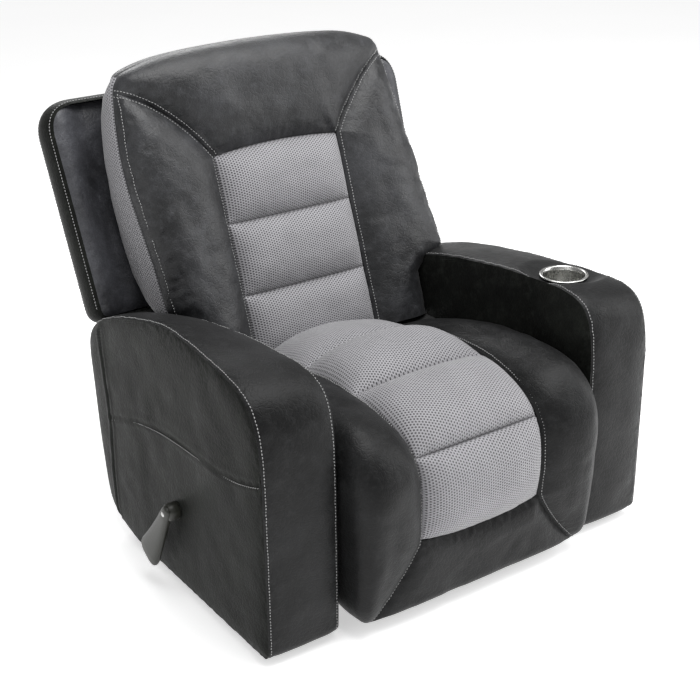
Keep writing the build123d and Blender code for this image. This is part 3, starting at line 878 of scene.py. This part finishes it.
def boxed(name, outline, centre, place, near_n, far_n, materials, dish, side_puff):
    """A closed boxed cushion: front face, boxing strip and rear face, each its own piece.

    outline is a closed (x, t) curve, near_n and far_n are the depths of its seams, and dish sinks the front.
    """
    m = len(outline)
    loop = np.vstack([outline, outline[:1]])
    near, far = np.full(m, near_n), np.full(m, far_n)
    tangent = unit(np.roll(outline, -1, 0) - np.roll(outline, 1, 0))
    out = np.stack([tangent[:, 1], -tangent[:, 0]], 1)
    if ((outline - np.array(centre)) * out).sum() < 0:
        out = -out
    made = []
    rings = count(0.42, 0.008)
    c = (np.linspace(0, 1, rings) ** 1.5)[:, None]
    for word, level, sign, material in (("front", near, -1, materials[0]), ("rear", far, 1, materials[2])):
        x = outline[None, :, 0] * (1 - c) + centre[0] * c
        t = outline[None, :, 1] * (1 - c) + centre[1] * c
        d = away(x, t, loop)
        puff = swell(d, 0.010, 0.020) + puckers(d, x, t, 91, 0.0016)
        puff += undulate(x, t, 93, 0.002) * (1 - np.exp(-d / 0.03))
        n = level[None] + sign * puff
        if sign < 0:
            n = n + dish(x, t)
        grid = place(x, t, n)
        grid = np.concatenate([grid, grid[:, :1]], 1)
        uv = np.stack([x, t], -1)
        uv = np.concatenate([uv, uv[:, :1]], 1)
        made.append(patch(f"{name} {word}", grid, uv, material))
    rows = count(0.1, 0.006)
    k = np.linspace(0, 1, rows)[:, None]
    puff = side_puff * np.sin(np.pi * k) ** 0.6
    x = outline[None, :, 0] + out[None, :, 0] * puff
    t = outline[None, :, 1] + out[None, :, 1] * puff
    n = near[None] * (1 - k) + far[None] * k
    grid = place(x, t, n)
    grid = np.concatenate([grid, grid[:, :1]], 1)
    length = arc(loop)
    uv = np.stack([np.broadcast_to(length, grid.shape[:2]), np.broadcast_to(k * 0.1, grid.shape[:2])], -1)
    made.append(patch(f"{name} boxing", grid, uv, materials[1]))
    return made


# the winged outer back
def rounded(points, n=500):
    """Closed outline with rounded corners: (a, b, radius), evenly spaced."""
    out = []
    for k, (a, b, r) in enumerate(points):
        p = np.array([a, b])
        before = np.array(points[k - 1][:2]) - p
        after = np.array(points[(k + 1) % len(points)][:2]) - p
        u, w = before / np.linalg.norm(before), after / np.linalg.norm(after)
        if r <= 0:
            out.append(p[None])
            continue
        half = math.acos(np.clip(u @ w, -1, 1)) / 2
        reach = min(r / math.tan(half), 0.48 * np.linalg.norm(before), 0.48 * np.linalg.norm(after))
        out.append(bend([p + u * reach, p, p + w * reach], 16))
    loop = np.vstack(out + [out[0][:1]])
    return resample(loop, n + 1)[:-1]


SHELL = rounded(
    [(-0.452, 0.971, 0.062), (0.444, 0.968, 0.070), (0.430, 0.512, 0.020), (0.318, 0.512, 0.006), (0.308, 0.350, 0.010),
     (-0.308, 0.350, 0.010), (-0.318, 0.512, 0.006), (-0.437, 0.512, 0.020)],
    900,
)


def shell_dish(x, t):
    """The wings' fronts slope back towards the cushion."""
    return 0.027 * smooth((0.436 - np.abs(x)) / 0.070) * (t > 0.40)


SHELL_NEAR, SHELL_FAR, SHELL_PUFF = 0.034, 0.116, 0.014
WING_LOW = 0.53  # the topstitching runs round the outline above this
# the front face is the hide's lightened wing copy (painted light); the boxing and rear are its darkened side copy
# (painted shade)
shell = boxed("outer back", SHELL, (0.0, 0.70), shell_place, SHELL_NEAR, SHELL_FAR,
              (LEATHER_WING_PAINTED_LIGHT, LEATHER_SIDE_PAINTED_SHADE, LEATHER_SIDE_PAINTED_SHADE), shell_dish, SHELL_PUFF)
shell_line = np.roll(SHELL, -np.argmax(SHELL[:, 1] <= WING_LOW), 0)
shell_line = shell_line[shell_line[:, 1] > WING_LOW]

for depth, sign, word in ((SHELL_NEAR, 1, "front"), (SHELL_FAR, -1, "rear")):
    line = shell_line
    tangent = unit(np.gradient(line, axis=0))
    out = np.stack([-tangent[:, 1], tangent[:, 0]], 1)
    if (out * (line - [0, 0.7])).sum() < 0:
        out = -out
    puff = SHELL_PUFF * math.sin(math.pi * 0.007 / 0.082) ** 0.6
    x, t = line[:, 0] + out[:, 0] * puff, line[:, 1] + out[:, 1] * puff
    n = np.full(len(x), depth + sign * 0.007)
    p = shell_place(x, t, n)
    normal = shell_place(x + out[:, 0] * 0.01, t + out[:, 1] * 0.01, n) - p
    shell.append(stitches(f"outer back {word} stitches", p, normal))
for o in shell:
    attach(o, "back")
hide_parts("back_outer_cover")


# ---- arms
ARM_IN, ARM_OUT = 0.320, 0.480
CUP_AT = (0.4015, -0.259, 0.541)  # middle of the rim
CUP_HOLE = 0.0475
ARM_PUFF = 0.007
REAR_EDGE = [(0.100, 0.018), (0.150, 0.029), (0.190, 0.045), (0.216, 0.066), (0.229, 0.100),
             (0.237, 0.150), (0.246, 0.220),
             (0.254, 0.330), (0.259, 0.410)]
FRONT_EDGE = [(-0.438, 0.380), (-0.438, 0.200), (-0.437, 0.055), (-0.432, 0.026), (-0.416, 0.016)]
INNER_TOP = [(0.252, 0.436), (0.232, 0.452), (0.194, 0.468), (0.120, 0.493), (0.025, 0.517), (-0.085, 0.534),
             (-0.170, 0.545), (-0.250, 0.550), (-0.330, 0.553), (-0.388, 0.543), (-0.419, 0.515),
             (-0.434, 0.460)]
OUTER_TOP_LEFT = [(0.253, 0.446), (0.232, 0.476), (0.194, 0.503), (0.120, 0.534), (0.025, 0.563),
                  (-0.085, 0.587),
                  (-0.170, 0.588), (-0.250, 0.580), (-0.330, 0.568), (-0.388, 0.548), (-0.420, 0.512),
                  (-0.434, 0.455)]
OUTER_TOP_RIGHT = [(0.254, 0.438), (0.236, 0.452), (0.194, 0.466), (0.120, 0.484), (0.025, 0.502),
                   (-0.085, 0.517),
                   (-0.170, 0.524), (-0.250, 0.530), (-0.330, 0.537), (-0.384, 0.530), (-0.418, 0.500),
                   (-0.434, 0.445)]
# the two seams of each boxing strip, by side and by distance from the middle
ARM_TOP = {
    (side, level): spline(REAR_EDGE + top + FRONT_EDGE, 700)
    for side, level, top in (
        (1, ARM_IN, INNER_TOP), (-1, ARM_IN, INNER_TOP), (1, ARM_OUT, OUTER_TOP_RIGHT),
        (-1, ARM_OUT, OUTER_TOP_LEFT)
    )
}
FLOOR_EDGE = np.stack([np.linspace(-0.40, 0.09, 60), np.linspace(0.014, 0.017, 60)], 1)
ARM_LOOP = {seam: resample(np.vstack([line, FLOOR_EDGE, line[:1]]), 421) for seam, line in ARM_TOP.items()}


PANEL_CURVE = spline([(0.168, 0.290), (0.120, 0.310), (0.041, 0.335), (-0.049, 0.353), (-0.133, 0.361), (-0.251, 0.367),
                      (-0.348, 0.376), (-0.432, 0.398)], 160)
PANEL_REAR = spline([(0.196, 0.485), (0.180, 0.380), (0.168, 0.290), (0.174, 0.207), (0.179, 0.080),
                     (0.180, 0.044)], 120)


def arm_face(name, side, level, outward, seams, seed, material):
    """A side of the arm as columns from the floor edge up to the outline."""
    rows, cols = count(0.5, 0.0045), count(0.7, 0.0045)
    line = ARM_TOP[side, level]
    # rows run level from the rear edge to the front edge, packed towards the crest and the floor
    crest = line[:, 1].argmax()
    q = np.linspace(0, 1, rows)
    levels = 0.5 - 0.5 * np.cos(np.pi * q)
    levels = 0.018 + (line[crest, 1] - 0.018) * levels
    order = np.argsort(line[:crest, 1])
    back_y = np.interp(levels, line[:crest, 1][order], line[:crest, 0][order])
    order = np.argsort(line[crest:, 1])
    front_y = np.interp(levels, line[crest:, 1][order], line[crest:, 0][order])
    b = (0.5 - 0.5 * np.cos(np.pi * np.linspace(0, 1, cols)))[None]
    y = back_y[:, None] * (1 - b) + front_y[:, None] * b
    z = levels[:, None] + 0 * b
    d = away(y, z, ARM_LOOP[side, level])
    puff = swell(d, ARM_PUFF, 0.020) + puckers(d, y, z, seed, 0.0014)
    puff += undulate(y, z, seed, 0.0022, 0.09) * (1 - np.exp(-d / 0.03))
    for s in seams:
        ds = away(y, z, s)
        puff -= 0.0026 * np.exp(-((ds / 0.0050) ** 2))
        puff += 0.0016 * np.exp(-(((ds - 0.008) / 0.006) ** 2)) + puckers(ds, y, z, seed + 2, 0.0005)
    grid = np.stack([np.full_like(y, side * level) + side * outward * puff, y, z], -1)
    return patch(name, grid, np.stack([y, z], -1), material, flip=(side * outward) > 0)


def arm_boxing(name, side, seed):
    """Top, front and rear strip between the two side seams."""
    rows, cols = count(1.9, 0.0045), count(0.17, 0.0045)
    edges = {}
    for level in (ARM_IN, ARM_OUT):
        profile = Profile(resample(ARM_TOP[side, level], rows))
        y, z, ny, nz = profile.at(np.linspace(0, profile.length, rows))
        sign = 1 if ny[5] > 0 else -1
        edges[level] = np.stack([y, z, sign * ny, sign * nz], 1)
    u = packed(cols, 1.5)
    k = (0.5 + 0.5 * u)[None, :, None]
    mid = edges[ARM_IN][:, None] * (1 - k) + edges[ARM_OUT][:, None] * k
    y, z, ny, nz = (mid[..., a] for a in range(4))
    half = (ARM_OUT - ARM_IN) / 2
    x = half * u[None] + 0 * y
    d = half - np.abs(x)
    s = np.linspace(0, profile.length, rows)[:, None] + 0 * x
    high = np.interp(s, [0, 0.4, 0.55, profile.length - 0.35, profile.length - 0.1, profile.length],
                     [0.006, 0.008, 0.012, 0.012, 0.009, 0.004])
    h = high * (1 - np.abs(u)[None] ** 2.6) * 0.8 + 0.2 * high * (1 - np.exp(-d / 0.008))
    h += puckers(d, x, s, seed, 0.0022, 0.011, 0.009)
    h += undulate(x, s, seed, 0.0016, 0.08) * (1 - np.exp(-d / 0.02))
    xx = side * ((ARM_IN + ARM_OUT) / 2 + x)
    yy, zz = y + ny * h, z + nz * h
    if side > 0:  # the padding dips round the cup holder's rim
        r = np.hypot(xx - CUP_AT[0], yy - CUP_AT[1])
        near = smooth((0.098 - r) / 0.038) * (zz > 0.49)
        zz = zz * (1 - near) + (CUP_AT[2] - 0.0030) * near
    grid = np.stack([xx, yy, zz], -1)
    strip = patch(name, grid, np.stack([x, s], -1), LEATHER_SEAT_PAINTED_SHADE, flip=side < 0)
    if side > 0:
        cut = bmesh.new()
        cut.from_mesh(strip.data)
        upper = [v for v in cut.verts if v.co.z > 0.5]
        inside = [v for v in upper if math.hypot(v.co.x - CUP_AT[0], v.co.y - CUP_AT[1]) < CUP_HOLE]
        bmesh.ops.delete(cut, geom=inside, context="VERTS")
        cut.to_mesh(strip.data)
        cut.free()
    return strip, grid


def arm_bottom(name, side):
    y = np.linspace(-0.425, 0.100, 30)[None]
    x = np.linspace(ARM_IN, ARM_OUT, 8)[:, None]
    grid = np.stack([side * x + 0 * y, y + 0 * x, np.full((8, 30), 0.0175)], -1)
    return patch(name, grid, np.stack([x + 0 * y, y + 0 * x], -1), LINING)


def curved_seam_stitches(side):
    """Topstitching above the curved seam of an arm's outer side."""
    line = resample(PANEL_CURVE, 300)
    t = unit(np.gradient(line, axis=0))
    y, z = line[:, 0] - t[:, 1] * 0.0055, line[:, 1] + t[:, 0] * 0.0055
    puff = swell(away(y, z, ARM_LOOP[side, ARM_OUT]), ARM_PUFF, 0.020)
    p = np.stack([side * (ARM_OUT + puff), y, z], -1)
    n = np.tile([side, 0.0, 0.0], (len(y), 1))
    return stitches("arm curved seam stitches " + SIDES[side], p, n, 0.0008)


# the arm sides use the hide's darkened side copy and the boxing strip its darkened seat copy, both painted shade
for side, word, cover in ((1, "right", "arm_cover_right"), (-1, "left", "arm_cover_left")):
    pieces = [
        arm_face(f"arm outer side {word}", side, ARM_OUT, 1, [PANEL_CURVE, PANEL_REAR], 101 + side, LEATHER_SIDE_PAINTED_SHADE),
        arm_face(f"arm inner side {word}", side, ARM_IN, -1, [], 111 + side, LEATHER_SIDE_PAINTED_SHADE),
    ]
    strip, strip_grid = arm_boxing(f"arm boxing {word}", side, 121 + side)
    pieces += [strip, arm_bottom(f"arm underside {word}", side)]
    pieces.append(curved_seam_stitches(side))
    for i, mark in ((3, "inner"), (-4, "outer")):  # a column of the boxing strip, just inside its seam
        path = strip_grid[6:-6, i]
        du = strip_grid[6:-6, i + 1] - strip_grid[6:-6, i - 1]
        dv = np.gradient(path, axis=0)
        n = unit(np.cross(du, dv))
        centre = np.array([side * 0.40, -0.10, 0.30])
        n *= np.sign(((path - centre) * n).sum(1).mean())
        pieces.append(stitches(f"arm {mark} seam stitches {word}", path, n))
    for o in pieces:
        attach(o, "base")
    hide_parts(cover)


# ---- cup holder and lever
def lathe(name, profile, centre, material, n=96):
    a = np.linspace(0, 2 * np.pi, n, endpoint=False)
    p = np.array(profile, float)
    verts = np.stack([p[:, None, 0] * np.cos(a), p[:, None, 0] * np.sin(a), p[:, None, 1] + 0 * a], -1)
    o = mesh_object(name, verts.reshape(-1, 3), sheet_faces(n, len(p), closed=True), material)
    o.location = centre
    return o


cup = lathe(
    "cup holder liner",
    [(0.0005, 0.002), (0.030, 0.002), (0.0415, 0.0035), (0.0440, 0.008), (0.0442, 0.064), (0.0452, 0.0715),
     (0.0475, 0.0742), (0.0505, 0.0745), (0.0527, 0.0732), (0.0530, 0.0718), (0.0522, 0.0712),
     (0.0462, 0.0712),
     (0.0455, 0.060), (0.0455, 0.002), (0.0440, 0.0), (0.0005, 0.0)],
    (CUP_AT[0], CUP_AT[1], CUP_AT[2] - 0.0712), CUP_STEEL,
)
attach(cup, "base")
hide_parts("cup_holder")

HUB = np.array([-0.115, 0.200])  # (Y, Z) of the release shaft


def lever_handle():
    """A flared paddle that hangs down and to the rear from its hub."""
    a = math.radians(-58)
    stations = [(-0.016, 0.008, 0.006), (-0.008, 0.013, 0.0085), (0.010, 0.0145, 0.0100), (0.045, 0.0185, 0.0100),
                (0.085, 0.0240, 0.0100), (0.120, 0.0295, 0.0105), (0.142, 0.0335, 0.0105),
                (0.154, 0.0330, 0.0095),
                (0.161, 0.029, 0.0070), (0.164, 0.020, 0.0020)]
    s = np.array(stations)
    u = np.linspace(s[0, 0], s[-1, 0], 60)
    wide, thick = np.interp(u, s[:, 0], s[:, 1]), np.interp(u, s[:, 0], s[:, 2])
    ring = np.linspace(0, 2 * np.pi, 28, endpoint=False)
    grid = np.zeros((60, 28, 3))
    for k in range(60):
        c, q = np.cos(ring), np.sin(ring)
        across = wide[k] * np.sign(c) * np.abs(c) ** 0.75
        deep = thick[k] * np.sign(q) * np.abs(q) ** 0.75
        bow = 0.010 * (u[k] / 0.16) ** 2
        grid[k, :, 1] = HUB[0] + math.cos(a) * u[k] - math.sin(a) * across
        grid[k, :, 2] = HUB[1] + math.sin(a) * u[k] + math.cos(a) * across
        grid[k, :, 0] = -0.5125 - bow * 0.6 + deep
    verts = grid.reshape(-1, 3)
    faces = sheet_faces(28, 60, closed=True)
    faces.append(tuple(range(28))[::-1])
    faces.append(tuple(59 * 28 + i for i in range(28)))
    return mesh_object("lever paddle", verts, faces, LEVER)


paddle = lever_handle()
hub = lathe(
    "lever hub",
    [(0.0005, 0.0), (0.0165, 0.0), (0.0185, 0.003), (0.0180, 0.022), (0.0150, 0.026), (0.0005, 0.027)],
    (-0.4875, *HUB), LEVER, 48,
)
screw = lathe(
    "lever screw cap",
    [(0.0005, 0.0030), (0.0022, 0.0028), (0.0040, 0.0032), (0.0056, 0.0022), (0.0062, 0.0)],
    (-0.5195, *HUB), ZINC, 40,
)
for o in (hub, screw):
    o.rotation_euler = (0, math.radians(-90), 0)
for o in (paddle, hub, screw):
    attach(o, "lever")
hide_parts("lever_handle")
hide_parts("lever_screw")


# ---- carried-over steel and wood
FINISH = {
    "black_steel": STEEL, "zinc_steel": ZINC, "arm_wood": WOOD, "glide_rubber": RUBBER, "webbing": WEB,
    "lever_plastic": LEVER, "cup_steel": CUP_STEEL, "charcoal_leather": LEATHER,
}
slots = {s["node"]: s["material_slot"] for s in frame["record"]["subparts"]}
for name, node in frame["nodes"].items():
    if node.type == "MESH" and not node.hide_render:
        node.data.materials.clear()
        node.data.materials.append(FINISH[slots[name]])

# goes over each visual piece, and sets nothing for it
for o in list(bpy.context.scene.objects):
    if o.type != "MESH" or o.name in frame["nodes"] or not o.data.materials:
        continue


# ---- floor, light and camera
def floor():
    m, t, p, at = nodes_of("pale floor")
    t.links.new(ramp(t, noise(t, at, 2.0), [(0.3, 0.93), (0.7, 0.95)]), p.inputs["Base Color"])
    p.inputs["Roughness"].default_value = 0.7
    p.inputs["Emission Color"].default_value = (1, 1, 1, 1)
    p.inputs["Emission Strength"].default_value = 0.50
    bpy.ops.mesh.primitive_plane_add(size=60, location=(0, 0, 0))
    plane = bpy.context.object
    plane.name = "floor"
    plane.data.materials.append(m)


def area_light(name, place, aim, size, power):
    data = bpy.data.lights.new(name, "AREA")
    data.shape = "RECTANGLE"
    data.size, data.size_y = size
    data.energy = power
    o = bpy.data.objects.new(name, data)
    bpy.context.scene.collection.objects.link(o)
    o.location = place
    o.rotation_euler = (Vector(aim) - Vector(place)).to_track_quat("-Z", "Y").to_euler()


floor()
area_light("top softbox", (0.3, -0.6, 3.2), (0, 0, 0.4), (2.4, 2.4), 105)
area_light("right softbox", (2.9, -2.0, 1.9), (0, 0, 0.5), (1.6, 2.2), 60)
area_light("left fill", (-3.2, -1.6, 1.5), (0, 0, 0.4), (2.0, 2.0), 10)
area_light("rear rim", (0.8, 3.0, 2.4), (0, 0, 0.8), (2.2, 1.2), 45)
world = bpy.data.worlds.new("studio")
world.use_nodes = True
sky = world.node_tree.nodes["Background"]
sky.inputs["Color"].default_value = (1, 1, 1, 1)
sky.inputs["Strength"].default_value = 0.42
bpy.context.scene.world = world
bpy.context.scene.view_settings.view_transform = "Standard"

camera_data = bpy.data.cameras.new("camera")
camera_data.lens = 71.6
camera_data.sensor_width = 36.0
camera = bpy.data.objects.new("camera", camera_data)
bpy.context.scene.collection.objects.link(camera)
camera.location = (-1.570, -2.304, 1.629)
look = Vector((0.5176, 0.7512, -0.4095)).to_track_quat("-Z", "Y")
camera.rotation_mode = "QUATERNION"
camera.rotation_quaternion = look @ Quaternion((0, 0, 1), math.radians(-0.89))
bpy.context.scene.camera = camera
